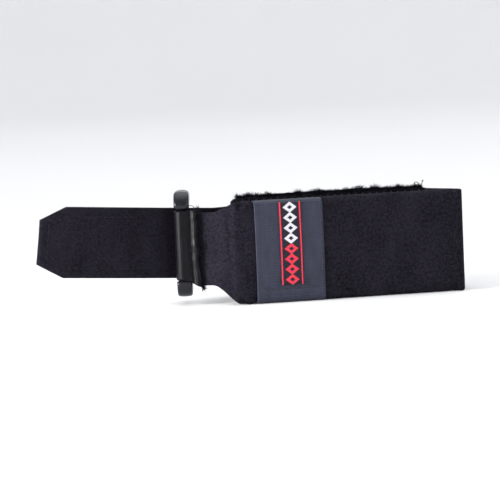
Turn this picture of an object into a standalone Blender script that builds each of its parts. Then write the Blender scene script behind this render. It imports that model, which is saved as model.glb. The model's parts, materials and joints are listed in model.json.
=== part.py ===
"""Padded string mute for a guitar neck: a foam pad, an elastic back and a strap with a hook tab.

The pad's front band folds round one bar of a plastic ring.  The strap comes round the back of the
neck, passes through the ring and ends in a tab that folds back onto the strap.

Design frame, in millimetres until the end of a function: +X runs across the neck from the ring
side to the folded end, +Y from the strings to the back of the neck, +Z along the neck.  The part
stands on its lower edge.
"""
import math

import bmesh
import bpy
from mathutils import Vector

MM = 0.001
GAP = 0.3                     # clearance between neighbouring pieces

# Pad and its layers
PAD_HEIGHT = 25.4
COVER_THICK = 0.9
COVER_PIECES = 1.6            # length of its flat pieces round the curves
COVER_MID_Y = -5.8            # middle of the cover's front layer
LINING_THICK = 1.5
LINING_BACK_Y = -0.2          # the face that lies on the strings
LINING_TOP = 27.2
LINING_LEFT, LINING_RIGHT = -24.0, 27.6
FOAM_LEFT, FOAM_RIGHT = -22.9, 27.2
FOAM_INSET = 1.0              # foam edge to pad edge, above and below

# Label on the front
LABEL_LEFT, LABEL_RIGHT = -18.8, -1.6
LABEL_THICK = 0.5
LABEL_INSET = 0.2             # from the pad's long edges
RIBBON_LEFT, RIBBON_RIGHT = -12.9, -7.1
RIBBON_BOTTOM, RIBBON_TOP = 4.4, 24.8
RIBBON_THICK = 0.4
HEM_Z = 3.5

# Folded end at the right
FOLD_END_X = 34.9
FOLD_RADIUS = 1.65
REAR_LAYER_ANGLE = 125.0      # heading of the layer that runs back from the fold, in degrees
SIDE_JOIN_TOP_Y = 11.2        # end of the cover's rear layer on the elastic

# Elastic back
ELASTIC_THICK = 1.4
ELASTIC_HEIGHT = 25.0
ELASTIC_SIDE_X = 27.3
ELASTIC_START_Y = 5.0
ELASTIC_BACK_Y = 22.8
ELASTIC_SIDE_RADIUS = 11.0
ELASTIC_SHOULDER_RADIUS = 16.0
ELASTIC_END_HEIGHT = 18.0
ELASTIC_TAPER_X, ELASTIC_TAPER_LENGTH = -8.0, 9.0    # where it begins to narrow towards the strap
ELASTIC_PIECES = 4.0          # length of its flat pieces along the curve

# Ring
RING_X, RING_Y = -35.5, 0.7   # axis of the bar that the cover folds round
RING_ANGLE = 78.0             # direction from that bar to the far bar, in degrees
BAR_SPACING = 11.2
FAR_BAR_RADIUS = 1.7
NEAR_BAR_RADIUS = 1.0         # slim, so that the cover folded round it is no wider than the ring
RING_END_RADIUS = 1.8
RING_HEIGHT = 26.0
RING_CORNER = 2.0
STRAP_MID_Z = 15.15           # middle of the ring and of the strap where it passes through

# Cover round the ring bar
WRAP_RADIUS = 1.65            # middle of the cover
CREASE_X = -24.2
CREASE_RADIUS = 3.0
FLAP_REACH = 3.9              # flap end, measured along the cover behind it
FLAP_EDGES = (4.6, 23.7)      # lower and upper edge of the cover at the flap's end,
WRAP_EDGES = (6.4, 23.6)      # where it is drawn in between the ring's ends,
NECK_EDGES = (4.9, 23.0)      # and beside the ring
NECK_START, TAPER_START, TAPER_LENGTH = 2.8, 7.0, 8.0

# Strap and tab
STRAP_WIDTH = 17.5
STRAP_THICK = 1.4
STRAP_ANGLE = 28.0            # direction from the tab to the back of the neck, in degrees
STRAP_RISE = 4.5              # the strap climbs towards the tab, in degrees
STRAP_OFF_BAR = 4.35          # strap middle to the first bar's axis
STRAP_END, ELASTIC_END = 18.5, 11.5   # along the strap from the slot in the ring
FOLD_OUT = 1.5                # fold line beyond the slot
FOLD_TURN_RADIUS = 4.4        # strap middle to the fold's axis
REST_BEND = 16.0              # the tab's bend at rest, in degrees
TAB_LENGTH = 36.3
TAB_CURL = 10.0               # gentle curl along the tab, in degrees
TIP_CHAMFER_LONG, TIP_CHAMFER_WIDE = 6.6, 3.3
PATCH_THICK = 0.8
PATCH_START, PATCH_MARGIN = 11.5, 1.0
STITCH_MARGIN = 2.4

# Lines of stitches
THREAD_RADIUS = 0.25
THREAD_LIFT = THREAD_RADIUS + 0.1     # thread's middle above the cloth
PAD_SEAM_Z = 0.45             # from the pad's long edge
PAD_SEAM_ENDS = (2.5, 0.8)    # from the lining's two ends
LABEL_SEAM_X, LABEL_SEAM_END = 0.5, 1.2
SIDE_SEAM = (6.4, 2.0, 23.2)  # its depth nearest the strings, its bottom and its top
SIDE_SEAM_MARGIN = 1.0        # from the end of the cover
LOOP_SEAM_PLACE, LOOP_SEAM_END = 0.62, 0.6    # share of the flap, and from its edges
LAP_SEAM_ALONG, LAP_SEAM_ACROSS = 1.2, 1.6    # from the ends and the edges of the lap
PATCH_SEAM_START = 0.8        # from the hook patch's first edge
SEAM_CORNER, SEAM_CORNER_STEPS = 0.8, 3

BLACK = (0.016, 0.013, 0.02)


def clear_scene():
    for item in list(bpy.data.objects):
        bpy.data.objects.remove(item)
    for group in list(bpy.data.collections):
        bpy.data.collections.remove(group)


def make_collection(name):
    group = bpy.data.collections.new(name)
    bpy.context.scene.collection.children.link(group)
    return group


def make_material(name, colour, roughness, metallic=0.0):
    surface = bpy.data.materials.new(name)
    surface.use_nodes = True
    shader = surface.node_tree.nodes["Principled BSDF"]
    shader.inputs["Base Color"].default_value = (*colour, 1.0)
    shader.inputs["Roughness"].default_value = roughness
    shader.inputs["Metallic"].default_value = metallic
    return surface


def make_empty(name, parent=None, location=(0, 0, 0), turn=(0, 0, 0)):
    empty = bpy.data.objects.new(name, None)
    empty.empty_display_size = 0.005
    empty.parent = parent
    empty.location = Vector(location) * MM
    empty.rotation_euler = [math.radians(a) for a in turn]
    PARTS.objects.link(empty)
    return empty


def add_object(name, data, surface, parent):
    item = bpy.data.objects.new(name, data)
    item.parent = parent
    data.materials.append(surface)
    PARTS.objects.link(item)
    return item


def heading(degrees):
    return Vector((math.cos(math.radians(degrees)), math.sin(math.radians(degrees))))


def arc(centre, radius, start, end, steps):
    """Points on a circle from one position angle to another, in degrees."""
    turns = [start + (end - start) * i / steps for i in range(steps + 1)]
    return [Vector(centre) + radius * heading(a) for a in turns]


def fillet(before, corner, after, radius, steps):
    """A round of the given radius in place of a corner."""
    into, out = (corner - before).normalized(), (after - corner).normalized()
    turn = into.angle_signed(out)
    back = radius * math.tan(abs(turn) / 2)
    side = Vector((into.y, -into.x)) if turn > 0 else Vector((-into.y, into.x))
    centre = corner - into * back + side * radius
    start = math.degrees(math.atan2(-side.y, -side.x))
    return arc(centre, radius, start, start - math.degrees(turn), steps)


def smooth_step(value):
    value = min(max(value, 0.0), 1.0)
    return value * value * (3 - 2 * value)


def lengths_along(path):
    total, result = 0.0, [0.0]
    for a, b in zip(path, path[1:]):
        total += (b - a).length
        result.append(total)
    return result


def resample(path, step):
    """The same path with no stretch longer than step."""
    result = [path[0]]
    for a, b in zip(path, path[1:]):
        count = max(1, math.ceil((b - a).length / step))
        result += [a.lerp(b, (i + 1) / count) for i in range(count)]
    return result


def add_strip(name, path, edges, thickness, surface, parent):
    """A strip of webbing or cloth: an open surface along a path, with Solidify for its thickness.

    edges gives the lower and upper edge for each point of the path.
    """
    mesh = bpy.data.meshes.new(name)
    strip = bmesh.new()
    columns = []
    for point, (low, high) in zip(path, edges):
        columns.append([strip.verts.new(Vector((*point, z)) * MM) for z in (low, high)])
    for (a_low, a_high), (b_low, b_high) in zip(columns, columns[1:]):
        strip.faces.new((a_low, b_low, b_high, a_high))
    strip.to_mesh(mesh)
    strip.free()
    item = add_object(name, mesh, surface, parent)
    solid = item.modifiers.new("thickness", "SOLIDIFY")
    solid.thickness = thickness * MM
    solid.offset = 0.0
    solid.use_even_offset = True
    return item


def add_slab(name, low, high, surface, parent, round_edges=0.0):
    """A flat rectangular layer between two corners."""
    mesh = bpy.data.meshes.new(name)
    slab = bmesh.new()
    bmesh.ops.create_cube(slab, size=1.0)
    low, high = Vector(low) * MM, Vector(high) * MM
    size = high - low
    for vertex in slab.verts:
        vertex.co = Vector([c * s for c, s in zip(vertex.co, size)])
    slab.to_mesh(mesh)
    slab.free()
    item = add_object(name, mesh, surface, parent)
    item.location = (low + high) / 2
    if round_edges:
        bevel = item.modifiers.new("round edges", "BEVEL")
        bevel.width = round_edges * MM
        bevel.segments = 2
    return item


def add_tube(name, points, radius, surface, parent, closed=False, resolution=1):
    """A round bar or a thread along a list of points."""
    curve = bpy.data.curves.new(name, "CURVE")
    curve.dimensions = "3D"
    curve.bevel_depth = radius * MM
    curve.bevel_resolution = resolution
    curve.use_fill_caps = not closed
    spline = curve.splines.new("POLY")
    spline.points.add(len(points) - 1)
    spline.use_cyclic_u = closed
    for place, point in zip(spline.points, points):
        place.co = (*(Vector(point) * MM), 1.0)
    return add_object(name, curve, surface, parent)


def rounded_rectangle(left, bottom, right, top, radius, steps):
    """A closed outline, anticlockwise from the right-hand side."""
    corners = ((right - radius, top - radius), (left + radius, top - radius),
               (left + radius, bottom + radius), (right - radius, bottom + radius))
    outline = []
    for quarter, corner in enumerate(corners):
        outline += arc(corner, radius, 90 * quarter, 90 * quarter + 90, steps)
    return outline


def cover_path():
    """Middle of the cover: flap, round the ring bar, along the front, round the fold to its end."""
    bar = Vector((RING_X, RING_Y))
    crease = Vector((CREASE_X, COVER_MID_Y))
    to_crease = crease - bar
    lean = math.degrees(math.atan2(to_crease.y, to_crease.x))
    slope = lean - math.degrees(math.asin(WRAP_RADIUS / to_crease.length))
    behind = bar + WRAP_RADIUS * heading(slope + 90)
    flap_end = behind + FLAP_REACH * heading(slope)
    flap_end += (COVER_THICK + GAP) * heading(slope - 90)
    to_flap = flap_end - bar
    flap_slope = math.degrees(math.atan2(to_flap.y, to_flap.x))
    flap_slope += math.degrees(math.asin(WRAP_RADIUS / to_flap.length))
    wrap = arc(bar, WRAP_RADIUS, flap_slope + 270, slope + 90, 14)
    fold_centre = Vector((FOLD_END_X - COVER_THICK / 2 - FOLD_RADIUS, COVER_MID_Y + FOLD_RADIUS))
    fold = arc(fold_centre, FOLD_RADIUS, -90, REAR_LAYER_ANGLE - 90, 8)
    side_x = ELASTIC_SIDE_X + (ELASTIC_THICK + COVER_THICK) / 2 + GAP
    run = (side_x - fold[-1].x) / heading(REAR_LAYER_ANGLE).x
    side_corner = fold[-1] + run * heading(REAR_LAYER_ANGLE)
    end = Vector((side_x, SIDE_JOIN_TOP_Y))
    path = [flap_end] + wrap
    path += fillet(wrap[-1], crease, crease + Vector((9, 0)), CREASE_RADIUS, 5)
    path += fold
    path += fillet(fold[-1], side_corner, end, 4.0, 5)
    return path + [end], len(wrap)


def cover_edges(path, wrap_start, wrap_end):
    """The cover is drawn in at the ring and widens in an S curve to the pad's full height."""
    along = lengths_along(path)
    leaves = along[wrap_end]
    stops = [(0.0, FLAP_EDGES), (along[wrap_start], WRAP_EDGES), (leaves, WRAP_EDGES),
             (leaves + NECK_START, NECK_EDGES), (leaves + TAPER_START, NECK_EDGES),
             (leaves + TAPER_START + TAPER_LENGTH, (0.0, PAD_HEIGHT)), (along[-1], (0.0, PAD_HEIGHT))]
    edges = []
    for distance in along:
        later = next(i for i in range(1, len(stops)) if distance <= stops[i][0] + 1e-9)
        (a, first), (b, second) = stops[later - 1], stops[later]
        part = smooth_step((distance - a) / (b - a))
        edges.append(tuple(f + (g - f) * part for f, g in zip(first, second)))
    return edges


def build_cover(root, cloth):
    coarse, wrap_end = cover_path()
    path = resample(coarse, COVER_PIECES)
    turns = [min(range(len(path)), key=lambda i: (path[i] - coarse[k]).length) for k in (1, wrap_end)]
    add_strip("outer_band", path, cover_edges(path, *turns), COVER_THICK, cloth, root)
    return coarse


def build_pad(root, foam, plush, thread):
    front = COVER_MID_Y + COVER_THICK / 2 + GAP
    lining_front = LINING_BACK_Y - LINING_THICK
    add_slab("foam_core", (FOAM_LEFT, front, FOAM_INSET),
             (FOAM_RIGHT, lining_front - GAP, PAD_HEIGHT - FOAM_INSET), foam, root, 0.5)
    add_slab("plush_lining", (LINING_LEFT, lining_front, 0), (LINING_RIGHT, LINING_BACK_Y, LINING_TOP),
             plush, root)
    seam_y = (front + lining_front) / 2
    for name, z in (("pad_seam_lower", PAD_SEAM_Z), ("pad_seam_upper", PAD_HEIGHT - PAD_SEAM_Z)):
        ends = [(LINING_LEFT + PAD_SEAM_ENDS[0], seam_y, z), (LINING_RIGHT - PAD_SEAM_ENDS[1], seam_y, z)]
        add_tube(name, ends, THREAD_RADIUS, thread, root)


def build_label(root, satin, woven, thread):
    back = COVER_MID_Y - COVER_THICK / 2 - GAP
    front = back - LABEL_THICK
    add_slab("label_band", (LABEL_LEFT, front, LABEL_INSET),
             (LABEL_RIGHT, back, PAD_HEIGHT - LABEL_INSET), satin, root)
    ribbon_back = front - GAP
    add_slab("label_ribbon", (RIBBON_LEFT, ribbon_back - RIBBON_THICK, RIBBON_BOTTOM),
             (RIBBON_RIGHT, ribbon_back, RIBBON_TOP), woven, root)
    seam_y = front - THREAD_LIFT
    edge_x = LABEL_RIGHT - LABEL_SEAM_X
    ends = [(edge_x, seam_y, LABEL_SEAM_END), (edge_x, seam_y, PAD_HEIGHT - LABEL_SEAM_END)]
    add_tube("label_edge_seam", ends, THREAD_RADIUS, thread, root)
    ends = [(LABEL_LEFT + LABEL_SEAM_X, seam_y, HEM_Z), (edge_x - LABEL_SEAM_END, seam_y, HEM_Z)]
    add_tube("label_hem_seam", ends, THREAD_RADIUS, thread, root)


def strap_axes():
    """Middle of the strap in the ring's slot, and the strap's directions seen from above."""
    along, across = heading(STRAP_ANGLE), heading(STRAP_ANGLE + 90)
    crossing = math.sin(math.radians(RING_ANGLE - STRAP_ANGLE))
    slot = Vector((RING_X, RING_Y)) + heading(RING_ANGLE) * (STRAP_OFF_BAR / crossing)
    return slot, along, across


def build_elastic(root, elastic, thread):
    slot, along, across = strap_axes()
    lap = across * (STRAP_THICK / 2 + GAP + ELASTIC_THICK / 2)
    end = slot + along * ELASTIC_END + lap
    start = Vector((ELASTIC_SIDE_X, ELASTIC_START_Y))
    side_corner = Vector((ELASTIC_SIDE_X, ELASTIC_BACK_Y))
    shoulder = end + along * ((ELASTIC_BACK_Y - end.y) / along.y)
    path = [start] + fillet(start, side_corner, shoulder, ELASTIC_SIDE_RADIUS, 9)
    path += fillet(side_corner, shoulder, end, ELASTIC_SHOULDER_RADIUS, 4)
    path = resample(path + [end], ELASTIC_PIECES)
    lap_mid = STRAP_MID_Z - math.sin(math.radians(STRAP_RISE)) * (ELASTIC_END + STRAP_END) / 2
    low, high = lap_mid - ELASTIC_END_HEIGHT / 2, lap_mid + ELASTIC_END_HEIGHT / 2
    edges = []
    for point in path:
        part = smooth_step((ELASTIC_TAPER_X - point.x) / ELASTIC_TAPER_LENGTH)
        edges.append((low * part, ELASTIC_HEIGHT + (high - ELASTIC_HEIGHT) * part))
    add_strip("elastic_back", path, edges, ELASTIC_THICK, elastic, root)
    seam_x = ELASTIC_SIDE_X + ELASTIC_THICK / 2 + GAP + COVER_THICK + THREAD_LIFT
    front, bottom, top = SIDE_SEAM
    outline = rounded_rectangle(front, bottom, SIDE_JOIN_TOP_Y - SIDE_SEAM_MARGIN, top,
                                SEAM_CORNER, SEAM_CORNER_STEPS)
    add_tube("elastic_seam", [(seam_x, p.x, p.y) for p in outline], THREAD_RADIUS, thread, root, True)


def build_loop_seam(root, thread, coarse):
    """A line of stitches up the flap that closes the loop round the ring bar."""
    flap_end, flap_start = coarse[0], coarse[1]
    outward = (flap_start - flap_end).normalized()
    outward = Vector((-outward.y, outward.x))
    if outward.y > 0:
        outward = -outward
    place = flap_start.lerp(flap_end, LOOP_SEAM_PLACE) + outward * (COVER_THICK / 2 + THREAD_LIFT)
    low, high = WRAP_EDGES
    ends = [(*place, low + LOOP_SEAM_END), (*place, high - LOOP_SEAM_END)]
    add_tube("ring_loop_seam", ends, THREAD_RADIUS, thread, root)


def build_ring(root, plastic):
    """A rectangular ring: a slim bar for the cover, a stouter far bar and stout ends."""
    pivot = make_empty("ring_pivot", root, (RING_X, RING_Y, STRAP_MID_Z), (0, 0, RING_ANGLE))
    half = RING_HEIGHT / 2 - RING_END_RADIUS
    outline = rounded_rectangle(0, -half, BAR_SPACING, half, RING_CORNER, 5)
    outline = resample(outline + outline[:1], 2.0)[:-1]
    thickness = []
    for spot in outline:
        bar = NEAR_BAR_RADIUS if spot.x < BAR_SPACING / 2 else FAR_BAR_RADIUS
        end = smooth_step((abs(spot.y) - (half - RING_CORNER)) / RING_CORNER)
        thickness.append((bar + (RING_END_RADIUS - bar) * end) / RING_END_RADIUS)
    item = add_tube("ring", [(p.x, 0, p.y) for p in outline], RING_END_RADIUS, plastic, pivot, True, 4)
    for place, share in zip(item.data.splines[0].points, thickness):
        place.radius = share


def tab_point(distance, offset):
    """A point on the tab beside the fold's axis, by distance past the fold line and offset from it.

    The tab bends round the fold's axis first, then curls gently.  A positive offset is towards
    the axis, on the hook side.
    """
    bend_length = math.radians(REST_BEND) * FOLD_TURN_RADIUS
    first = min(distance, bend_length) / FOLD_TURN_RADIUS
    spot = FOLD_TURN_RADIUS * Vector((-math.sin(first), -math.cos(first)))
    turn = first
    if distance > bend_length:
        curl_radius = TAB_LENGTH / math.radians(TAB_CURL)
        turn = first + (distance - bend_length) / curl_radius
        centre = spot + curl_radius * Vector((math.sin(first), math.cos(first)))
        spot = centre - curl_radius * Vector((math.sin(turn), math.cos(turn)))
    return spot + offset * Vector((math.sin(turn), math.cos(turn)))


def tab_half_width(to_tip, margin=0.0):
    """Half the tab's width at a distance from its tip, less a margin inside the edge."""
    narrow = max(0.0, 1 - to_tip / TIP_CHAMFER_LONG) * TIP_CHAMFER_WIDE
    return STRAP_WIDTH / 2 - narrow - margin


def tab_stations(start, end, count):
    """Distances along the tab, with one at the shoulder where its tip begins to narrow."""
    shoulder = TAB_LENGTH - TIP_CHAMFER_LONG
    body = [start + (shoulder - start) * i / count for i in range(count + 1)]
    return body + [end]


def build_strap(root, webbing, hooks, thread):
    slot, _, _ = strap_axes()
    strap = make_empty("strap_pivot", root, (*slot, STRAP_MID_Z), (0, STRAP_RISE, STRAP_ANGLE))
    half = STRAP_WIDTH / 2
    path = resample([Vector((-FOLD_OUT, 0)), Vector((STRAP_END, 0))], 5.0)
    add_strip("strap_run", path, [(-half, half)] * len(path), STRAP_THICK, webbing, strap)
    lap_face = STRAP_THICK / 2 + GAP + ELASTIC_THICK + THREAD_LIFT
    side = half - LAP_SEAM_ACROSS
    outline = rounded_rectangle(ELASTIC_END + LAP_SEAM_ALONG, -side, STRAP_END - LAP_SEAM_ALONG, side,
                                SEAM_CORNER, SEAM_CORNER_STEPS)
    add_tube("strap_joint_seam", [(p.x, lap_face, p.y) for p in outline], THREAD_RADIUS, thread,
             strap, True)

    pivot = make_empty("tab_pivot", strap, (-FOLD_OUT, FOLD_TURN_RADIUS, 0))
    stations = [0.35, 0.8] + tab_stations(1.3, TAB_LENGTH, 8)
    path = [tab_point(s, 0) for s in stations]
    widths = [tab_half_width(TAB_LENGTH - s) for s in stations]
    add_strip("tab_strap", path, [(-w, w) for w in widths], STRAP_THICK, webbing, pivot)

    stations = tab_stations(PATCH_START, TAB_LENGTH - PATCH_MARGIN, 6)
    offset = STRAP_THICK / 2 + GAP + PATCH_THICK / 2
    path = [tab_point(s, offset) for s in stations]
    widths = [tab_half_width(TAB_LENGTH - s, PATCH_MARGIN) for s in stations]
    add_strip("hook_patch", path, [(-w, w) for w in widths], PATCH_THICK, hooks, pivot)

    stations = tab_stations(PATCH_START + PATCH_SEAM_START, TAB_LENGTH - STITCH_MARGIN, 6)
    offset = -(STRAP_THICK / 2 + THREAD_LIFT)
    spots = [(tab_point(s, offset), tab_half_width(TAB_LENGTH - s, STITCH_MARGIN)) for s in stations]
    outline = [(*spot, width) for spot, width in spots]
    outline += [(*spot, -width) for spot, width in reversed(spots)]
    add_tube("hook_patch_seam", outline, THREAD_RADIUS, thread, pivot, True)


def stand_on_origin(root):
    """Moves the whole part so that the middle of its base is at the origin."""
    bpy.context.view_layer.update()
    graph = bpy.context.evaluated_depsgraph_get()
    corners = []
    for item in PARTS.objects:
        if item.type == "EMPTY":
            continue
        shape = item.evaluated_get(graph)
        mesh = shape.to_mesh()
        corners += [shape.matrix_world @ v.co for v in mesh.vertices]
        shape.to_mesh_clear()
    low = [min(c[i] for c in corners) for i in range(3)]
    high = [max(c[i] for c in corners) for i in range(3)]
    root.location = (-(low[0] + high[0]) / 2, -(low[1] + high[1]) / 2, -low[2])


def main():
    cloth = make_material("loop_fabric", BLACK, 0.85)
    elastic = make_material("elastic_webbing", (0.014, 0.013, 0.017), 0.8)
    satin = make_material("slate_satin", (0.06, 0.065, 0.095), 0.5)
    woven = make_material("woven_stripe", (0.62, 0.05, 0.07), 0.6)
    foam = make_material("foam", (0.02, 0.02, 0.022), 0.95)
    plush = make_material("plush", (0.016, 0.016, 0.024), 0.95)
    plastic = make_material("moulded_plastic", (0.008, 0.008, 0.012), 0.2)
    hooks = make_material("hook_tape", (0.02, 0.019, 0.023), 0.6)
    thread = make_material("thread", (0.03, 0.029, 0.038), 0.6)

    root = make_empty("part_origin")
    coarse = build_cover(root, cloth)
    build_pad(root, foam, plush, thread)
    build_label(root, satin, woven, thread)
    build_elastic(root, elastic, thread)
    build_loop_seam(root, thread, coarse)
    build_ring(root, plastic)
    build_strap(root, cloth, hooks, thread)
    stand_on_origin(root)


clear_scene()
PARTS = make_collection("guitar_string_mute")
main()
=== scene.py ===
"""Looks for the padded string mute: sewn cloth, plush, elastic, hook tape and a moulded ring.

Lengths are in millimetres in the part's design frame (X across the neck, Y towards its back, Z along
it) until place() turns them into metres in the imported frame.
"""
import json
import math

import bmesh
import bpy
import numpy as np
from mathutils import Matrix, Vector, noise


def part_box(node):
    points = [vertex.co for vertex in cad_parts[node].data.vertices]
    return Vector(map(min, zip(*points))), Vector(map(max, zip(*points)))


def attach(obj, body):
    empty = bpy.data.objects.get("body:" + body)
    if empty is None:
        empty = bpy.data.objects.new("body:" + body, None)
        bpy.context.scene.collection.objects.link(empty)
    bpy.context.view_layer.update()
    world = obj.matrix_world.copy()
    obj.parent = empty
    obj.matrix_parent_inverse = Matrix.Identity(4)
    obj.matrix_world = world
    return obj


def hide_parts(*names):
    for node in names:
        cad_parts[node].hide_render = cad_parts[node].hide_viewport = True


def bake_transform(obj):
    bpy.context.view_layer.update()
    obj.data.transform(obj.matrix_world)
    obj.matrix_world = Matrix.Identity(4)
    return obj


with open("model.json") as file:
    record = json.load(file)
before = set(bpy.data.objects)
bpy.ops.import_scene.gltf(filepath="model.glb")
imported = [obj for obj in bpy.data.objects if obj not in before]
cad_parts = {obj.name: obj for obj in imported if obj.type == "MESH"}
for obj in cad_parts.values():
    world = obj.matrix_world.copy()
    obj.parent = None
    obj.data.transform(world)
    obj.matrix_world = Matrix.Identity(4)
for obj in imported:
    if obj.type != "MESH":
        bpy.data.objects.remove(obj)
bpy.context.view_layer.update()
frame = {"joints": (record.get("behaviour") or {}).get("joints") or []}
MM = 0.001
RANDOM = np.random.default_rng(7)

# Camera and what it looks at, in degrees and metres
AZIMUTH, ELEVATION, DISTANCE, LENS, ROLL = -12.0, 5.0, 0.690, 201.0, -2.5
TARGET = (-0.0008, -0.010, 0.0131)

# Sizes that the CAD solids fix
LINING_LOW = np.array([-24.0, -1.7, 0.0])
SHIFT = np.array(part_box("plush_lining")[0]) / MM - LINING_LOW
PAD_HEIGHT, COVER_THICK, COVER_Y = 25.4, 0.9, -5.8
CREASE_X, CREASE_RADIUS = -24.2, 3.0
FOLD_END_X, FOLD_RADIUS, REAR_ANGLE = 34.9, 1.65, 125.0
TURN_IN, TURN_IN_CORNER = 3.5, 1.25
ELASTIC_THICK, ELASTIC_HEIGHT = 1.4, 25.0
ELASTIC_X, ELASTIC_START_Y, ELASTIC_BACK_Y, SIDE_END_Y = 27.3, 5.0, 22.8, 11.2
ELASTIC_SLOPE, ELASTIC_CORNER, ELASTIC_SHOULDER = 28.0, 11.0, 16.0
ELASTIC_TAPER_X, ELASTIC_TAPER_LENGTH, LAP_HALF, LAP_TILT = -8.0, 9.0, 9.0, 4.5
RING_X, RING_Y, RING_ANGLE, BAR_SPACING = -35.5, 0.7, 78.0, 11.2
NEAR_BAR, FAR_BAR, RING_END, RING_HEIGHT, RING_CORNER = 1.0, 1.7, 1.8, 26.0, 2.0
STRAP_Z, WRAP_RADIUS, FLAP_REACH = 15.15, 1.65, 3.9
FLAP_EDGES, WRAP_EDGES, NECK_EDGES = (4.6, 23.7), (6.4, 23.6), (4.9, 23.0)
WRAP_TOP = WRAP_EDGES[1] - STRAP_Z + 0.1
NECK_START, TAPER_START, TAPER_LENGTH = 2.8, 7.0, 8.0
STRAP_WIDTH, STRAP_THICK, STRAP_END, ELASTIC_END, LAP_GAP = 17.5, 1.4, 18.5, 11.5, 0.3
FOLD_OUT, TURN_RADIUS, REST_BEND, FOLD_REACH, FOLD_FINE = 1.5, 4.4, 16.0, 6.0, 6.3
TAB_LENGTH, TAB_CURL, TIP_LONG, TIP_WIDE, TIP_LEAN = 36.3, 10.0, 6.6, 3.3, 0.1
TAB_CUPPING, TAB_LIFT = 0.35, 0.15
LABEL, LABEL_THICK, LABEL_TURN_IN, LABEL_CORNER = (-18.8, -1.6), 0.4, 3.3, 1.3
LABEL_BACK_Y = COVER_Y - COVER_THICK / 2 - 0.1
RIBBON = (-12.9, -7.1, 4.4, 24.8)
HEM_Z, PAD_SEAM_Y = 3.5, -2.45
FOAM_X, FOAM_Z, LINING_END, LINING_TOP = (-22.9, 27.2), (1.0, 24.4), 27.4, 26.5
STRING_PLACES = (-17.4, -11.6, -5.8, 0.0, 5.8, 11.6, 17.4)
PATCH_START, STITCH_MARGIN = 11.5, 2.4
SIDE_FACE_X = ELASTIC_X + ELASTIC_THICK / 2 + 0.3 + COVER_THICK
SIDE_SEAM, SEAM_CORNER = (6.4, 2.0, SIDE_END_Y - 1.0, 23.2), 0.8

# Looks: voxel, pressure and most movement of the swelled pads, and how the cloth lies
FOAM_SWELL, LINING_SWELL = (0.55, 2.0, 0.12), (0.5, 2.0, 0.15)
PUFF, LABEL_PINCH, STRETCH_THINNING, UNDER_LABEL = 0.5, 0.14, 0.09, 0.42
FLAP_SEAM_PLACE, FLAP_CREASE, CREASE_DENT, DRAWN_FOLDS = 0.52, 0.7, 0.34, 0.30
ELASTIC_CORDS, CORD_DEPTH, STRING_GROOVE, STITCH_GROOVE = 20, 0.17, 0.22, 0.13
COVER_HAIRS, STRAP_HAIRS, EDGE_FRAYS, CORNER_FRAYS = 8000, 3400, 260, 170

# Soft studio light: name, bearing, elevation, distance and size in metres, power
LIGHTS = (("overhead", 150, 78, 1.25, 1.5, 7.0), ("glint", 26, 12, 1.0, 0.14, 1.9),
          ("side", -78, 12, 0.25, 0.12, 1.25))

JOINTS = {joint["name"]: joint for joint in frame["joints"]}


def place(points):
    """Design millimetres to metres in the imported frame, with nothing below the floor."""
    spots = (np.asarray(points, float) + SHIFT) * MM
    spots[..., 2] = np.maximum(spots[..., 2], 0.0)
    return spots


def unit(vectors):
    return vectors / (np.linalg.norm(vectors, axis=-1, keepdims=True) + 1e-12)


def strap_frame():
    """The strap's own axes: towards the neck's back, away from the strings, and up its width."""
    along = unit(-np.array(JOINTS["strap_pull"]["axis"], float))
    up = unit(-np.array(JOINTS["tab_fold"]["axis"], float))
    across = np.cross(up, along)
    pivot = np.array(JOINTS["tab_fold"]["pos_m"], float) / MM - SHIFT
    return pivot + along * FOLD_OUT - across * TURN_RADIUS, along, across, up


SLOT, ALONG, ACROSS, UP = strap_frame()


def in_strap(points):
    """Points given along, across and up the strap, in design millimetres; the tab's end is cut aslant."""
    points = np.asarray(points, float)
    reach = np.clip((-FOLD_OUT - points[..., :1]) / TAB_LENGTH, 0, 1)
    along = points[..., :1] + TIP_LEAN * reach ** 4 * points[..., 2:]
    return SLOT + along * ALONG + points[..., 1:2] * ACROSS + points[..., 2:] * UP


def place_in_strap(points):
    return place(in_strap(points))


# ---- paths and meshes

def heading(degrees):
    return np.array((math.cos(math.radians(degrees)), math.sin(math.radians(degrees))))


def arc(centre, radius, start, end, steps=24):
    return [np.asarray(centre) + radius * heading(start + (end - start) * i / steps)
            for i in range(steps + 1)]


def fillet(before, corner, after, radius, steps=16):
    """A round of the given radius in place of a corner."""
    before, corner, after = (Vector(p) for p in (before, corner, after))
    into, out = (corner - before).normalized(), (after - corner).normalized()
    turn = into.angle_signed(out)
    back = radius * math.tan(abs(turn) / 2)
    side = Vector((into.y, -into.x)) if turn > 0 else Vector((-into.y, into.x))
    centre = corner - into * back + side * radius
    start = math.degrees(math.atan2(-side.y, -side.x))
    return arc(centre, radius, start, start - math.degrees(turn), steps)


def rounded_rectangle(left, bottom, right, top, radius, steps=6):
    corners = ((right - radius, top - radius), (left + radius, top - radius),
               (left + radius, bottom + radius), (right - radius, bottom + radius))
    return [p for i, corner in enumerate(corners) for p in arc(corner, radius, 90 * i, 90 * i + 90, steps)]


def lengths_along(points):
    return np.concatenate([[0], np.cumsum(np.linalg.norm(np.diff(points, axis=0), axis=1))])


def even_path(points, step):
    """The path at even distances: (places, unit normals to the left of it, distances)."""
    points = np.array([np.asarray(p, float) for p in points])
    along = lengths_along(points)
    distance = np.linspace(0, along[-1], int(round(along[-1] / step)) + 1)
    places, ahead, behind = (np.stack([np.interp(at, along, points[:, i]) for i in range(2)], axis=1)
                             for at in (distance, distance + 0.25, distance - 0.25))
    tangent = unit(ahead - behind)
    return places, np.stack([-tangent[:, 1], tangent[:, 0]], axis=1), distance


def smooth_step(value):
    value = np.clip(value, 0.0, 1.0)
    return value * value * (3 - 2 * value)


def hump(value, width):
    return np.exp(-(value / width) ** 2)


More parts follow.
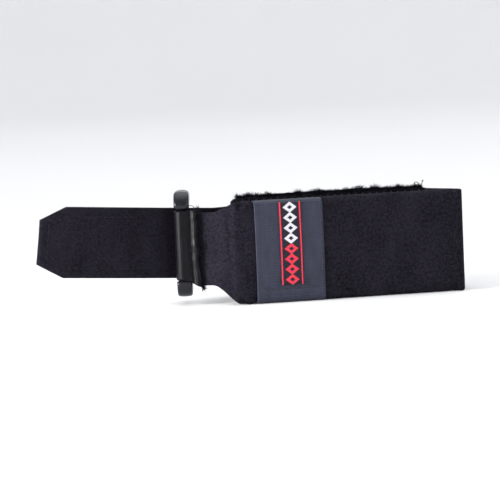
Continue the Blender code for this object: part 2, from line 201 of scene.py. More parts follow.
def columns(*values):
    """Numbers and rows of numbers, side by side."""
    return np.column_stack(np.broadcast_arrays(*values))


def wobble(points, scale, seed=0.0, octaves=3):
    """Smooth noise from about -1 to 1 at an array of points, in millimetres."""
    flat = np.asarray(points, float).reshape(-1, 3) / scale + seed
    values = [noise.fractal(Vector(p), 1.0, 2.0, octaves) for p in flat]
    return np.array(values).reshape(np.asarray(points).shape[:-1])


def new_object(name, verts, faces, uvs=None, slots=None, materials=()):
    """A mesh object from vertices in metres, with one UV for each vertex, in millimetres of cloth."""
    mesh = bpy.data.meshes.new(name)
    mesh.from_pydata([tuple(v) for v in verts], [], [tuple(f) for f in faces])
    for surface in materials:
        mesh.materials.append(surface)
    if slots is not None:
        mesh.polygons.foreach_set("material_index", np.asarray(slots, np.int32))
    if uvs is not None:
        layer = mesh.uv_layers.new(name="cloth")
        corner = np.zeros(len(mesh.loops), np.int32)
        mesh.loops.foreach_get("vertex_index", corner)
        layer.data.foreach_set("uv", np.asarray(uvs, np.float32)[corner].ravel())
    mesh.polygons.foreach_set("use_smooth", np.ones(len(mesh.polygons), bool))
    item = bpy.data.objects.new(name, mesh)
    bpy.context.scene.collection.objects.link(item)
    return item


def dress(item, slot, body=None, *nodes):
    """Says which body carries a piece and which CAD nodes it stands for; slot is not used."""
    if body:
        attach(item, body)
    if nodes:
        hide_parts(*nodes)


def face_outward(item):
    shape = bmesh.new()
    shape.from_mesh(item.data)
    bmesh.ops.recalc_face_normals(shape, faces=shape.faces)
    shape.to_mesh(item.data)
    shape.free()
    return item


def cloth_solid(name, stations, materials, to_world=place):
    """A closed sheet from stations along it: each has a row of outer points, of inner points and of UVs.

    materials are those of the outer face, the inner face and the edges, or one for all of them.
    """
    outer, inner, uvs = (np.array(grid) for grid in zip(*stations))
    front = np.arange(outer.size // 3).reshape(outer.shape[:2])
    back = front + front.size
    strips = [(front[:-1, :-1], front[1:, :-1], front[1:, 1:], front[:-1, 1:], 0),
              (back[:-1, :-1], back[:-1, 1:], back[1:, 1:], back[1:, :-1], 1)]
    for edge in (0, -1):
        strips.append((front[:-1, edge], back[:-1, edge], back[1:, edge], front[1:, edge], 2))
        strips.append((front[edge, :-1], front[edge, 1:], back[edge, 1:], back[edge, :-1], 2))
    faces, slots = [], []
    for *corners, slot in strips:
        quads = np.stack([corner.ravel() for corner in corners], axis=1).tolist()
        faces += quads
        slots += [min(slot, len(materials) - 1)] * len(quads)
    verts = to_world(np.concatenate([outer.reshape(-1, 3), inner.reshape(-1, 3)]))
    flat = uvs.reshape(-1, 2)
    return face_outward(new_object(name, verts, faces, np.concatenate([flat, flat]), slots, materials))


def edge_round(distance, half):
    """Half the thickness at a distance from the edge, for an edge that is rounded off."""
    inside = np.clip(distance / half, 0.0, 1.0)
    return half * np.sqrt(np.maximum(1 - (1 - inside) ** 2, 0.02))


def row_spacing(total, step, edge=0.5):
    """Distances across a strip, closer together by its edges."""
    fine = np.array([0, 0.08, 0.25, 0.5, 0.8]) * edge
    middle = np.linspace(edge, total - edge, max(4, int((total - 2 * edge) / step)))
    return np.concatenate([fine, middle, total - fine[::-1]])


def ribbon_spacing(left, right, edge, inset, count):
    middle = np.linspace(left + inset, right - inset, count)
    return np.concatenate([[left, left + edge], middle, [right - edge, right]])


def ring_faces(rows, around, closed=False):
    """Quads between rings of points; closed joins the last ring to the first."""
    return [(i * around + k, i * around + (k + 1) % around,
             (i + 1) % rows * around + (k + 1) % around, (i + 1) % rows * around + k)
            for i in range(rows if closed else rows - 1) for k in range(around)]


def tubes(name, lines, radius, surface, sides):
    """Threads or hooks: a round closed body along each list of points, all in one mesh."""
    verts, faces, uvs = [], [], []
    for line in lines:
        line = np.asarray(line, float)
        tangent = unit(np.gradient(line, axis=0))
        helper = (0.31, 0.52, 0.79) if abs(tangent[0, 2]) < 0.9 else (1.0, 0.2, 0.1)
        side = unit(np.cross(tangent[0], helper))
        start, last = len(verts), len(line) - 1
        for i, (point, along, total) in enumerate(zip(line, tangent, lengths_along(line))):
            side = unit(side - along * (side @ along))
            other = np.cross(along, side)
            size = radius * (0.55 if i in (0, last) else 1.0)
            for k in range(sides):
                angle = 2 * math.pi * k / sides
                verts.append(point + size * (math.cos(angle) * side + math.sin(angle) * other))
                uvs.append((total, k / sides))
        faces += [[start + corner for corner in face] for face in ring_faces(last + 1, sides)]
        faces += [range(start + sides - 1, start - 1, -1), range(len(verts) - sides, len(verts))]
    return new_object(name, place(verts), faces, uvs, None, [surface])


def stitches(name, node, line, outward, pitch, length, radius, surface=None, closed=False, body="band"):
    """A row of separate stitches along a line of points: each rises from its holes and lies flat."""
    line = np.asarray(line, float)
    outward = np.broadcast_to(np.asarray(outward, float), line.shape)
    if closed:
        line, outward = np.vstack([line, line[:1]]), np.vstack([outward, outward[:1]])
    along = lengths_along(line)
    room = along[-1] - (0 if closed else length)
    count = max(1, int(round(room / pitch)))
    step = room / count
    rows = []
    for i in range(count if closed else count + 1):
        spots = []
        for t in np.linspace(-1, 1, 9):
            at = i * step + length / 2 + t * length / 2
            at = at % along[-1] if closed else at
            point, out = (np.array([np.interp(at, along, way[:, a]) for a in range(3)])
                          for way in (line, outward))
            lift = radius * 0.75 - (radius * 2.3) * abs(t) ** 3.5
            spots.append(point + out * (lift + RANDOM.uniform(-0.012, 0.012)))
        rows.append(spots)
    dress(tubes(name, rows, radius, surface or THREAD, 7), "thread", body, node)


def fibres(name, roots, directions, lengths, radius, surface, droop):
    """Fine hairs: each a bent three-sided spike from its root, all in one mesh."""
    directions, lengths, count = unit(directions), lengths[:, None], len(roots)
    sway = RANDOM.normal(size=(count, 3))
    sway = unit(sway - directions * np.sum(sway * directions, axis=1)[:, None])
    other = np.cross(directions, sway)
    rings = []
    for t, size in ((-0.15, 1.0), (0.35, 0.9), (0.72, 0.6)):
        centre = roots + directions * (lengths * t) + sway * (lengths * droop * t * t)
        for k in range(3):
            turn = 2 * math.pi * k / 3
            rings.append(centre + radius * size * (math.cos(turn) * sway + math.sin(turn) * other))
    tips = roots + directions * lengths + sway * (lengths * droop)
    verts = np.stack(rings + [tips], axis=1).reshape(-1, 3)
    shape = ring_faces(3, 3) + [(2, 1, 0)] + [(6 + k, 6 + (k + 1) % 3, 9) for k in range(3)]
    base = (np.arange(count) * 10)[:, None]
    faces = [corners for face in shape for corners in (base + face).tolist()]
    shade = np.repeat(RANDOM.random(count), 10)
    uvs = columns(shade * 40, np.tile(np.repeat([0.0, 0.35, 0.72, 1.0], [3, 3, 3, 1]), count))
    return new_object(name, place(verts), faces, uvs, None, [surface])


def surface_hairs(name, points, count, length):
    """Short nap on a grid of points: hairs that stand out from the sheet's face."""
    rows, across = points.shape[:2]
    i = RANDOM.integers(0, rows - 1, count)
    j = RANDOM.integers(0, across - 1, count)
    clear = points[i, j, 2] > length + 0.1
    i, j = i[clear], j[clear]
    a, b = RANDOM.random((2, len(i), 1))
    p00, p10, p01, p11 = points[i, j], points[i + 1, j], points[i, j + 1], points[i + 1, j + 1]
    roots = (p00 * (1 - a) + p10 * a) * (1 - b) + (p01 * (1 - a) + p11 * a) * b
    out = unit(np.cross(p01 - p00, p10 - p00))
    out += 0.45 * RANDOM.normal(size=out.shape)
    return fibres(name, roots, out, length * RANDOM.uniform(0.5, 1.3, len(roots)), 0.03, NAP, 0.9)


# ---- materials

class Surface:
    """A Principled material with short calls for the nodes that drive it."""

    def __init__(self, name, roughness, specular, sheen=0.0, sheen_roughness=0.5, tint=(1.0, 1.0, 1.0)):
        self.material = bpy.data.materials.new(name)
        self.material.use_nodes = True
        self.tree = self.material.node_tree
        self.shader = self.tree.nodes["Principled BSDF"]
        for key, value in (("Roughness", roughness), ("Specular IOR Level", specular),
                           ("Sheen Weight", sheen), ("Sheen Roughness", sheen_roughness),
                           ("Sheen Tint", (*tint, 1.0))):
            self.shader.inputs[key].default_value = value

    def node(self, kind, inputs, **settings):
        """A new node; each input is a plain value or another node's output."""
        made = self.tree.nodes.new("ShaderNode" + kind)
        for key, value in settings.items():
            setattr(made, key, value)
        for key, value in inputs.items():
            if isinstance(value, bpy.types.NodeSocket):
                self.tree.links.new(value, made.inputs[key])
            else:
                made.inputs[key].default_value = value
        return made

    def drive(self, key, source):
        self.tree.links.new(source, self.shader.inputs[key])

    def cloth(self):
        """The cloth's own coordinates, in millimetres along and across it."""
        return self.node("UVMap", {}, uv_map="cloth").outputs["UV"]

    def solid(self):
        """Coordinates in the object's own space, in millimetres."""
        inputs = {0: self.node("TexCoord", {}).outputs["Object"], "Scale": 1 / MM}
        return self.node("VectorMath", inputs, operation="SCALE").outputs["Vector"]

    def noise(self, where, size, detail=4.0, rough=0.6, stretch=None):
        if stretch:
            where = self.node("Mapping", {"Vector": where, "Scale": stretch}).outputs["Vector"]
        inputs = {"Vector": where, "Scale": 1 / size, "Detail": detail, "Roughness": rough}
        return self.node("TexNoise", inputs).outputs["Fac"]

    def cells(self, where, size):
        return self.node("TexVoronoi", {"Vector": where, "Scale": 1 / size}).outputs["Distance"]

    def axis(self, where, which):
        return self.node("SeparateXYZ", {0: where}).outputs[which]

    def math(self, operation, *values):
        return self.node("Math", dict(enumerate(values)), operation=operation).outputs[0]

    def ripple(self, coordinate, period):
        """A smooth wave from 0 to 1 with the given period in millimetres."""
        wave = self.math("SINE", self.math("MULTIPLY", coordinate, 2 * math.pi / period))
        return self.math("ADD", self.math("MULTIPLY", wave, 0.5), 0.5)

    def threads(self, where, *periods):
        """A ripple along the cloth and one across it."""
        return [self.ripple(self.axis(where, i), period) for i, period in enumerate(periods)]

    def blend(self, *parts):
        """A weighted sum of values."""
        total = None
        for value, weight in parts:
            term = self.math("MULTIPLY", value, weight)
            total = term if total is None else self.math("ADD", total, term)
        return total

    def ramp(self, value, *stops):
        made = self.node("ValToRGB", {"Fac": value})
        for point, (at, colour) in zip(made.color_ramp.elements, stops):
            point.position, point.color = at, (*colour, 1.0)
        return made.outputs["Color"]

    def mix(self, factor, first, second):
        first, second = ((*c, 1.0) if isinstance(c, tuple) else c for c in (first, second))
        return self.node("Mix", {0: factor, 6: first, 7: second}, data_type="RGBA").outputs[2]

    def roughness(self, value, low, high):
        self.drive("Roughness", self.math("ADD", self.math("MULTIPLY", value, high - low), low))

    def bump(self, height, depth, strength):
        """Surface relief, depth in millimetres."""
        inputs = {"Height": height, "Distance": depth * MM, "Strength": strength}
        self.drive("Normal", self.node("Bump", inputs).outputs["Normal"])

    def finish(self, layers, dark, light, depth, strength=0.8):
        """Colour and relief from layers of (value, weight in the tone, weight in the relief)."""
        tone = self.blend(*[(value, weight) for value, weight, _ in layers if weight])
        self.drive("Base Color", self.ramp(tone, dark, light))
        relief = self.blend(*[(value, weight) for value, _, weight in layers if weight])
        self.bump(relief, depth, strength)
        return self.material


def loop_pile(name, dark, light):
    """Brushed loop cloth: a felted nap of fine loops with slight patches of lay."""
    s = Surface(name, 0.9, 0.06, 0.02, 0.4, (0.62, 0.60, 0.72))
    where = s.cloth()
    layers = [(s.noise(where, 0.72, 5.0, 0.68), 0.8, 0.9), (s.cells(where, 0.42), 0.2, 0.7),
              (s.noise(where, 5.5, 3.0, 0.5, (1.0, 0.45, 1.0)), 0.3, 0)]
    return s.finish(layers, (0.48, dark), (0.75, light), 0.16)


def smooth_reverse(name):
    """The cloth's plain reverse, stretched: a fine close weave with a dull shine."""
    s = Surface(name, 0.30, 0.12, 0.01, 0.35, (0.7, 0.7, 0.8))
    where = s.cloth()
    weave = s.math("MULTIPLY", *s.threads(where, 0.42, 0.36))
    patches = s.noise(where, 3.0, 4.0, 0.55)
    s.roughness(patches, 0.20, 0.45)
    return s.finish([(weave, 0.35, 1.0), (patches, 0.7, 0.4)], (0.25, (0.0014, 0.0013, 0.0020)),
                    (0.85, (0.0060, 0.0056, 0.0082)), 0.05, 0.7)


def satin(name):
    """Slate satin: fine raised cords across a smooth sheen."""
    s = Surface(name, 0.42, 0.2, 0.03, 0.3)
    where = s.cloth()
    warp, cords = s.threads(where, 0.3, 0.5)
    haze, specks = s.noise(where, 2.4, 4.0, 0.6, (1.0, 0.35, 1.0)), s.noise(where, 0.35, 3.0, 0.7)
    s.roughness(haze, 0.34, 0.54)
    layers = [(cords, 0.18, 0.8), (warp, 0.08, 0.3), (haze, 0.6, 0), (specks, 0.2, 0.4)]
    return s.finish(layers, (0.3, (0.015, 0.0165, 0.028)), (0.85, (0.043, 0.047, 0.078)), 0.05, 0.7)


def woven_stripe(name):
    """A woven ribbon: a red pinstripe down each side and a row of lozenges, pale above and red below."""
    s = Surface(name, 0.6, 0.15, 0.04)
    where = s.cloth()
    across, along = s.axis(where, 0), s.axis(where, 1)
    width, height = RIBBON[1] - RIBBON[0], RIBBON[3] - RIBBON[2]
    half_pitch, lozenge_half, stripe_at, stripe_half = height / 16, 1.75, 2.5, 0.17
    ground, red, pale = (0.016, 0.016, 0.024), (0.74, 0.040, 0.075), (0.70, 0.67, 0.73)
    off_centre = s.math("ABSOLUTE", s.math("SUBTRACT", across, width / 2))
    off_stripe = s.math("ABSOLUTE", s.math("SUBTRACT", off_centre, stripe_at))
    pinstripe = s.math("LESS_THAN", off_stripe, stripe_half)
    to_middle = s.math("SUBTRACT", half_pitch, s.math("PINGPONG", along, half_pitch))
    reach = s.blend((off_centre, 1 / lozenge_half), (to_middle, 0.93 / half_pitch))
    lozenge = s.math("MULTIPLY", s.math("LESS_THAN", reach, 1.0), s.math("GREATER_THAN", reach, 0.38))
    thread_colour = s.mix(s.math("GREATER_THAN", along, height / 2), red, pale)
    woven = s.mix(lozenge, s.mix(pinstripe, ground, red), thread_colour)
    picks = s.ripple(along, 0.34)
    s.drive("Base Color", s.mix(s.math("MULTIPLY", picks, 0.22), woven, (0.01, 0.01, 0.012)))
    s.bump(s.blend((picks, 1.0), (s.noise(where, 0.3), 0.4)), 0.04, 0.7)
    return s.material


def elastic_webbing(name):
    """Elastic: raised cords along its length with fine picks across them."""
    s = Surface(name, 0.72, 0.1, 0.02, 0.4, (0.65, 0.65, 0.75))
    where = s.cloth()
    weave = s.math("MULTIPLY", *s.threads(where, 0.62, 0.62))
    layers = [(weave, 0.45, 1.0), (s.noise(where, 0.5, 4.0, 0.65), 0.3, 0.5),
              (s.noise(where, 6.0, 3.0, 0.5, (1.0, 0.3, 1.0)), 0.3, 0)]
    return s.finish(layers, (0.2, (0.0035, 0.003, 0.0045)), (0.9, (0.018, 0.017, 0.022)), 0.09)


def plush(name):
    """Short pile: dark at the root, a little lighter where the tips catch the light."""
    s = Surface(name, 0.92, 0.05, 0.02, 0.5, (0.5, 0.5, 0.62))
    where = s.solid()
    layers = [(s.noise(where, 1.3, 5.0, 0.65), 0.65, 0.8), (s.noise(where, 0.4, 3.0, 0.7), 0.4, 0.6)]
    return s.finish(layers, (0.3, (0.0025, 0.0025, 0.004)), (0.85, (0.013, 0.0125, 0.017)), 0.3)


def foam(name):
    """Open-cell foam: pitted all over."""
    s = Surface(name, 0.95, 0.2)
    where = s.solid()
    layers = [(s.cells(where, 0.5), 0.7, 1.0), (s.noise(where, 1.6, 4.0, 0.6), 0.5, 0.4)]
    return s.finish(layers, (0.2, (0.004, 0.004, 0.0045)), (0.85, (0.022, 0.022, 0.025)), 0.25)


def moulded_plastic(name):
    """Glossy black moulding, faintly rippled, with fine rubs where cloth has worn it."""
    s = Surface(name, 0.2, 0.32)
    where = s.solid()
    rubs = s.noise(where, 0.25, 6.0, 0.75, (1.0, 1.0, 0.15))
    s.roughness(rubs, 0.12, 0.36)
    layers = [(rubs, 0.7, 0.12), (s.noise(where, 3.5, 2.0, 0.5), 0.4, 1.0)]
    return s.finish(layers, (0.35, (0.0025, 0.0025, 0.0042)), (0.95, (0.010, 0.010, 0.015)), 0.05, 0.5)


def hook_tape(name):
    """Nylon: slightly waxy, with a fine woven base."""
    s = Surface(name, 0.42, 0.25)
    where = s.cloth()
    layers = [(s.noise(where, 0.8, 4.0, 0.6), 0.7, 0.7), (s.threads(where, 0.5)[0], 0.25, 0.25)]
    return s.finish(layers, (0.2, (0.004, 0.004, 0.005)), (0.9, (0.020, 0.0195, 0.024)), 0.05, 0.6)


def twisted_thread(name, dark, light):
    """Sewing thread: a slanting twist in its shade and relief."""
    s = Surface(name, 0.6, 0.1, 0.02)
    where = s.cloth()
    twist = s.ripple(s.blend((s.axis(where, 0), 1.0), (s.axis(where, 1), 0.45)), 0.45)
    return s.finish([(twist, 1.0, 1.0)], (0.1, dark), (0.9, light), 0.04)


PILE = loop_pile("loop_pile", (0.0028, 0.0023, 0.0043), (0.0162, 0.0144, 0.0214))
NAP = loop_pile("loop_fibres", (0.0040, 0.0034, 0.0056), (0.0176, 0.0157, 0.0230))
REVERSE = loop_pile("cloth_reverse", (0.0025, 0.0020, 0.0037), (0.0124, 0.0108, 0.0166))
WRAP = smooth_reverse("stretched_reverse")
PLUSH = plush("plush")
HOOKS = hook_tape("hook_tape")
THREAD = twisted_thread("thread_black", (0.0028, 0.0026, 0.0038), (0.0135, 0.0125, 0.0165))
LABEL_THREAD = twisted_thread("thread_slate", (0.018, 0.0195, 0.028), (0.050, 0.054, 0.075))


# ---- cover and label

def cover_line():
    """The cover's middle seen from above, and the distances at which its stretches end."""
    bar, crease = np.array((RING_X, RING_Y)), np.array((CREASE_X, COVER_Y))
    to_crease = crease - bar
    lean = math.degrees(math.atan2(to_crease[1], to_crease[0]))
    slope = lean - math.degrees(math.asin(WRAP_RADIUS / np.linalg.norm(to_crease)))
    behind = bar + WRAP_RADIUS * heading(slope + 90)
    flap_end = behind + FLAP_REACH * heading(slope) + (COVER_THICK + 0.3) * heading(slope - 90)
    to_flap = flap_end - bar
    flap_slope = math.degrees(math.atan2(to_flap[1], to_flap[0]))
    flap_slope += math.degrees(math.asin(WRAP_RADIUS / np.linalg.norm(to_flap)))
    wrap = arc(bar, WRAP_RADIUS, flap_slope + 270, slope + 90, 48)
    fold_centre = (FOLD_END_X - COVER_THICK / 2 - FOLD_RADIUS, COVER_Y + FOLD_RADIUS)
    fold = arc(fold_centre, FOLD_RADIUS, -90, REAR_ANGLE - 90, 30)
    side_x = ELASTIC_X + (ELASTIC_THICK + COVER_THICK) / 2 + 0.15
    run = (side_x - fold[-1][0]) / heading(REAR_ANGLE)[0]
    side_corner = fold[-1] + run * heading(REAR_ANGLE)
    end = np.array((side_x, SIDE_END_Y))
    parts = [[flap_end], wrap, fillet(wrap[-1], crease, crease + (9, 0), CREASE_RADIUS), fold,
             fillet(fold[-1], side_corner, end, 4.0), [end]]
    line = np.array([p for part in parts for p in part])
    along = lengths_along(line)
    last = np.cumsum([len(part) for part in parts]) - 1
    return line, dict(wrap_start=along[1], wrap_end=along[last[1]], front=along[last[2]],
                      fold=along[last[2] + 1], end=along[-1])


def c_section(share, low, high, reach, corner, thick):
    """Middle of a cover that turns in over the pad's two long edges, by share of its length.

    Returns depth, height, the inward direction in that plane and the length.
    """
    bottom, top = low + thick / 2, high - thick / 2
    flat, quarter, front = reach - corner, math.pi / 2 * corner, top - bottom - 2 * corner
    length = 2 * (flat + quarter) + front
    a = np.asarray(share) * length
    mirrored = a > length / 2
    b = np.where(mirrored, length - a, a)
    turn = np.clip((b - flat) / corner, 0, math.pi / 2)
    depth = np.where(b < flat, reach - b, corner - corner * np.sin(turn))
    height = np.where(b < flat + quarter, corner - corner * np.cos(turn), corner + b - flat - quarter)
    height = np.where(mirrored, top - height, bottom + height)
    return depth, height, np.sin(turn), np.where(mirrored, -np.cos(turn), np.cos(turn)), length


def pad_puff(x, z):
    """How far the foam pushes the pad's front out from flat."""
    across = smooth_step((x + 23.5) / 5.0) * smooth_step((31.5 - x) / 5.0)
    tall = 1 - np.clip(np.abs(z - PAD_HEIGHT / 2) / (PAD_HEIGHT / 2), 0, 1) ** 2.4
    return across * (PUFF * tall - LABEL_PINCH * sum(hump(x - edge, 0.9) for edge in LABEL))


def cover_edges(distance, ends):
    """Lower and upper edge of the cover: drawn in at the ring, then widening to the pad's height."""
    leaves = ends["wrap_end"]
    stops = [(0.0, FLAP_EDGES), (ends["wrap_start"], WRAP_EDGES), (leaves, WRAP_EDGES),
             (leaves + NECK_START, NECK_EDGES), (leaves + TAPER_START, NECK_EDGES),
             (leaves + TAPER_START + TAPER_LENGTH, (0.0, PAD_HEIGHT))]
    edges = np.tile(np.array(FLAP_EDGES)[:, None], len(distance))
    for (a, first), (b, second) in zip(stops, stops[1:]):
        edges += np.subtract(second, first)[:, None] * smooth_step((distance - a) / (b - a))
    return edges


def make_cover():
    """The cover, and for its details: its two faces, the distances along it and where they end."""
    line, ends = cover_line()
    places, normals, distance = even_path(line, 0.5)
    share = row_spacing(PAD_HEIGHT, 0.36) / PAD_HEIGHT
    x = places[:, 0]
    on_front = (distance > ends["front"] - 1.5) & (distance < ends["fold"] + 1.0)
    turned_in = on_front * smooth_step((x + 23.4) / 2.6) * smooth_step((33.0 - x) / 2.0)
    thin = COVER_THICK / 2 - STRETCH_THINNING * smooth_step((ends["wrap_end"] + 2.0 - distance) / 3.0)
    under_label = smooth_step((x - LABEL[0] + 0.6) / 0.6) * smooth_step((LABEL[1] + 0.6 - x) / 0.6)
    under_label = under_label * on_front * UNDER_LABEL
    low, high = cover_edges(distance, ends)
    low, high = low + under_label, high - under_label
    outer, inner, uvs, widths = [], [], [], []
    for i, (g, lo, hi) in enumerate(zip(turned_in, low, high)):
        depth, height, in_depth, in_up, length = c_section(share, lo, hi, TURN_IN, TURN_IN_CORNER,
                                                           COVER_THICK)
        inward = unit(np.column_stack([in_depth * g + (1 - g), in_up * g]))
        height = height * g + (lo + share * (hi - lo)) * (1 - g)
        width = g * length + (1 - g) * (hi - lo)
        widths.append(width * MM)
        half = edge_round(np.minimum(share, 1 - share) * width, thin[i])[:, None]
        bulge = pad_puff(x[i], height) * inward[:, 0] * (on_front[i] > 0)
        middle = np.column_stack([depth * g - bulge * inward[:, 0], height])
        for store, spot in ((outer, middle - inward * half), (inner, middle + inward * half)):
            store.append(np.column_stack([places[i] + normals[i] * spot[:, :1], spot[:, 1]]))
        uvs.append(columns(distance[i], (share - 0.5) * width))
    outer, inner, uvs = np.array(outer), np.array(inner), np.array(uvs)
    facing = columns(*normals.T, 0.0)[:, None, :]
    tangent = columns(normals[:, 1], -normals[:, 0], 0.0)[:, None, :]
    move = flap_edge(distance, ends, outer, facing, tangent)
    move -= facing * cover_creases(distance, ends, uvs)[..., None]
    outer, inner = outer + move, inner + move
    item = cloth_solid("cover", zip(outer, inner, uvs), [PILE, WRAP, PILE])
    dress(item, "loop_fabric", "band", "outer_band")
    return outer, inner, distance, ends


def cover_creases(distance, ends, uvs):
    """Soft hollows where the cover narrows, a dent along the crease and a slight waviness."""
    spots = np.dstack([uvs, np.zeros(uvs.shape[:2])])
    broad = wobble(spots * (1, 0.6, 1), 7.0, 3.1, 2)
    drawn = wobble(spots * (0.45, 1.3, 1), 3.2, 9.4, 2)
    taper_middle = ends["wrap_end"] + TAPER_START + TAPER_LENGTH * 0.35
    near_taper = hump(distance - taper_middle, 5.0)[:, None]
    dent = hump(distance - ends["front"] + 1.6, 0.8)[:, None]
    front = smooth_step((distance - ends["front"]) / 3) * smooth_step((ends["fold"] - distance) / 3)
    calm = (1 - smooth_step((ends["wrap_end"] + 3 - distance) / 3))[:, None]
    return calm * (DRAWN_FOLDS * near_taper * drawn - CREASE_DENT * dent) + 0.10 * broad * front[:, None]


def flap_edge(distance, ends, points, facing, tangent):
    """The flap's cut edge: lifted, bulging at one place and uneven."""
    share = (distance / ends["wrap_start"])[:, None]
    to_edge, height = np.clip(1 - share, 0, 1), points[..., 2]
    ridge = hump(share - 0.18, 0.2) * (0.45 + 0.5 * hump(height - STRAP_Z + 0.6, 1.6))
    lift = ridge + 0.12 * to_edge * wobble(points * (0, 0, 1), 2.6, 5.0, 2)
    lift = lift - FLAP_CREASE * hump(share - FLAP_SEAM_PLACE, 0.13)
    ragged = to_edge ** 3 * 0.4 * wobble(points * (0, 0, 1), 0.9, 1.7, 3)
    lean = -0.55 * to_edge * np.clip((STRAP_Z - height) / 9.0, 0, 1)
    return facing * lift[..., None] + tangent * (ragged + lean)[..., None]


def make_label():
    """The satin band: wrapped over the pad's long edges, with turned side edges and a hem."""
    left, right = LABEL
    share = row_spacing(PAD_HEIGHT, 0.32, 0.4) / PAD_HEIGHT
    depth, height, in_depth, in_up, length = c_section(share, 0.02, PAD_HEIGHT - 0.02, LABEL_TURN_IN,
                                                       LABEL_CORNER, LABEL_THICK)
    hem = 0.14 * smooth_step((HEM_Z - 0.25 - height) / 0.35) * in_depth
    stations = []
    for x in ribbon_spacing(left, right, 0.1, 0.25, 46):
        to_side = min(x - left, right - x)
        turned = 0.16 * smooth_step((1.15 - to_side) / 0.25)
        half = edge_round(np.minimum(share, 1 - share) * length, LABEL_THICK / 2)
        half = np.minimum(half, edge_round(to_side + 0.03, LABEL_THICK / 2))
        middle_y = LABEL_BACK_Y - LABEL_THICK / 2 + depth - pad_puff(x, height) * in_depth
        out = half + turned + hem
        stations.append((columns(x, middle_y - in_depth * out, height - in_up * np.minimum(out, half)),
                         columns(x, middle_y + in_depth * half, height + in_up * half),
                         columns(x, share * length)))
    item = cloth_solid("label", stations, [satin("slate_satin")])
    dress(item, "slate_satin", "band", "label_band")


def label_front(x, z, above):
    """Points on the label's face at places across and up the pad."""
    return columns(x, LABEL_BACK_Y - LABEL_THICK - pad_puff(x, z) - above, z)


def make_ribbon():
    """The woven ribbon: close cross ribs, turned under at both ends."""
    left, right, bottom, top = RIBBON
    z = np.linspace(bottom, top, 260)
    to_end = np.minimum(z - bottom, top - z)
    raised = 0.035 * np.sin(2 * math.pi * z / 0.68) + 0.14 * smooth_step((1.3 - to_end) / 0.25)
    stations = []
    for x in ribbon_spacing(left, right, 0.06, 0.2, 17):
        half = np.minimum(edge_round(min(x - left, right - x) + 0.02, 0.15), edge_round(to_end + 0.02, 0.15))
        base = label_front(x, z, 0.17)
        stations.append((base - columns(0.0, half + raised, 0.0), base + columns(0.0, half, 0.0),
                         columns(x - left, z - bottom)))
    item = cloth_solid("woven_ribbon", stations, [woven_stripe("woven_stripe")])
    dress(item, "woven_stripe", "band", "label_ribbon")


def make_label_seams():
    """Stitches down the label's right edge and along its hem."""
    edge_x = LABEL[1] - 0.62
    thread = (1.55, 1.15, 0.13, LABEL_THREAD)
    line = label_front(edge_x, np.linspace(PAD_HEIGHT - 1.6, 1.6, 24), 0.16)
    stitches("label_edge_stitches", "label_edge_seam", line, (0, -1, 0), *thread)
    line = label_front(np.linspace(LABEL[0] + 1.4, edge_x - 1.0, 18), HEM_Z, 0.04)
    stitches("label_hem_stitches", "label_hem_seam", line, (0, -1, 0), *thread)


# ---- pad

def round_corners(x, z, low, high, radius):
    """Draws the corners of a grid of places in x and z on to arcs."""
    middle, half = np.add(low, high) / 2, np.subtract(high, low) / 2
    past = [np.clip((np.abs(value - centre) - (reach - radius)) / radius, 0, 1)
            for value, centre, reach in zip((x, z), middle, half)]
    share = np.maximum(*past) / np.maximum(np.hypot(*past), 1e-9)
    return [value - np.sign(value - centre) * radius * over * (1 - share)
            for value, centre, over in zip((x, z), middle, past)]


def pillow(name, low, high, step, thickness, corner, faces_at, material):
    """A soft slab with rounded edges; faces_at gives the front and back depth on a grid of x and z."""
    x, z = (start + row_spacing(end - start, step, thickness / 2) for start, end in zip(low, high))
    x, z = np.meshgrid(x, z, indexing="ij")
    inside = np.minimum(np.minimum(x - low[0], high[0] - x), np.minimum(z - low[1], high[1] - z))
    round_off = edge_round(inside, thickness / 2) / (thickness / 2)
    x, z = round_corners(x, z, low, high, corner)
    front, back = faces_at(x, z)
    middle, half = (front + back) / 2, (back - front) / 2 * round_off
    outer, inner = (np.stack([x, middle + side * half, z], axis=-1) for side in (-1, 1))
    return cloth_solid(name, zip(outer, inner, np.stack([x, z], axis=-1)), [material])


def swell(item, voxel, pressure, cap):
    """Lets cloth pressure fill a pad, worked at ten times its size, and caps how far it moves."""
    item.data.transform(Matrix.Scale(10, 4))
    remesh = item.modifiers.new("remesh", "REMESH")
    remesh.mode, remesh.voxel_size, remesh.use_smooth_shade = "VOXEL", voxel * 10 * MM, True
    keep_evaluated(item)
    before = vertex_places(item.data)
    cloth = item.modifiers.new("cloth", "CLOTH")
    cloth.settings.use_pressure = True
    cloth.settings.uniform_pressure_force = pressure
    cloth.settings.effector_weights.gravity = 0
    cloth.settings.tension_stiffness = 25
    for moment in range(1, 21):
        bpy.context.scene.frame_set(moment)
    shown = item.evaluated_get(bpy.context.evaluated_depsgraph_get()).to_mesh()
    move = vertex_places(shown) - before
    length = np.linalg.norm(move, axis=1)[:, None] + 1e-12
    move *= np.minimum(1, cap * 10 * MM / length)
    item.modifiers.remove(cloth)
    item.data.vertices.foreach_set("co", (before + move).astype(np.float32).ravel())
    item.data.transform(Matrix.Scale(0.1, 4))
    bpy.context.scene.frame_set(1)
    smooth = item.modifiers.new("smooth", "SUBSURF")
    smooth.levels = smooth.render_levels = 1
    keep_evaluated(item)


def vertex_places(mesh):
    places = np.zeros(len(mesh.vertices) * 3)
    mesh.vertices.foreach_get("co", places)
    return places.reshape(-1, 3)


def keep_evaluated(item):
    """Replaces the mesh by what its modifiers make of it."""
    graph = bpy.context.evaluated_depsgraph_get()
    made = bpy.data.meshes.new_from_object(item.evaluated_get(graph))
    item.modifiers.clear()
    item.data = made
    made.polygons.foreach_set("use_smooth", np.ones(len(made.polygons), bool))


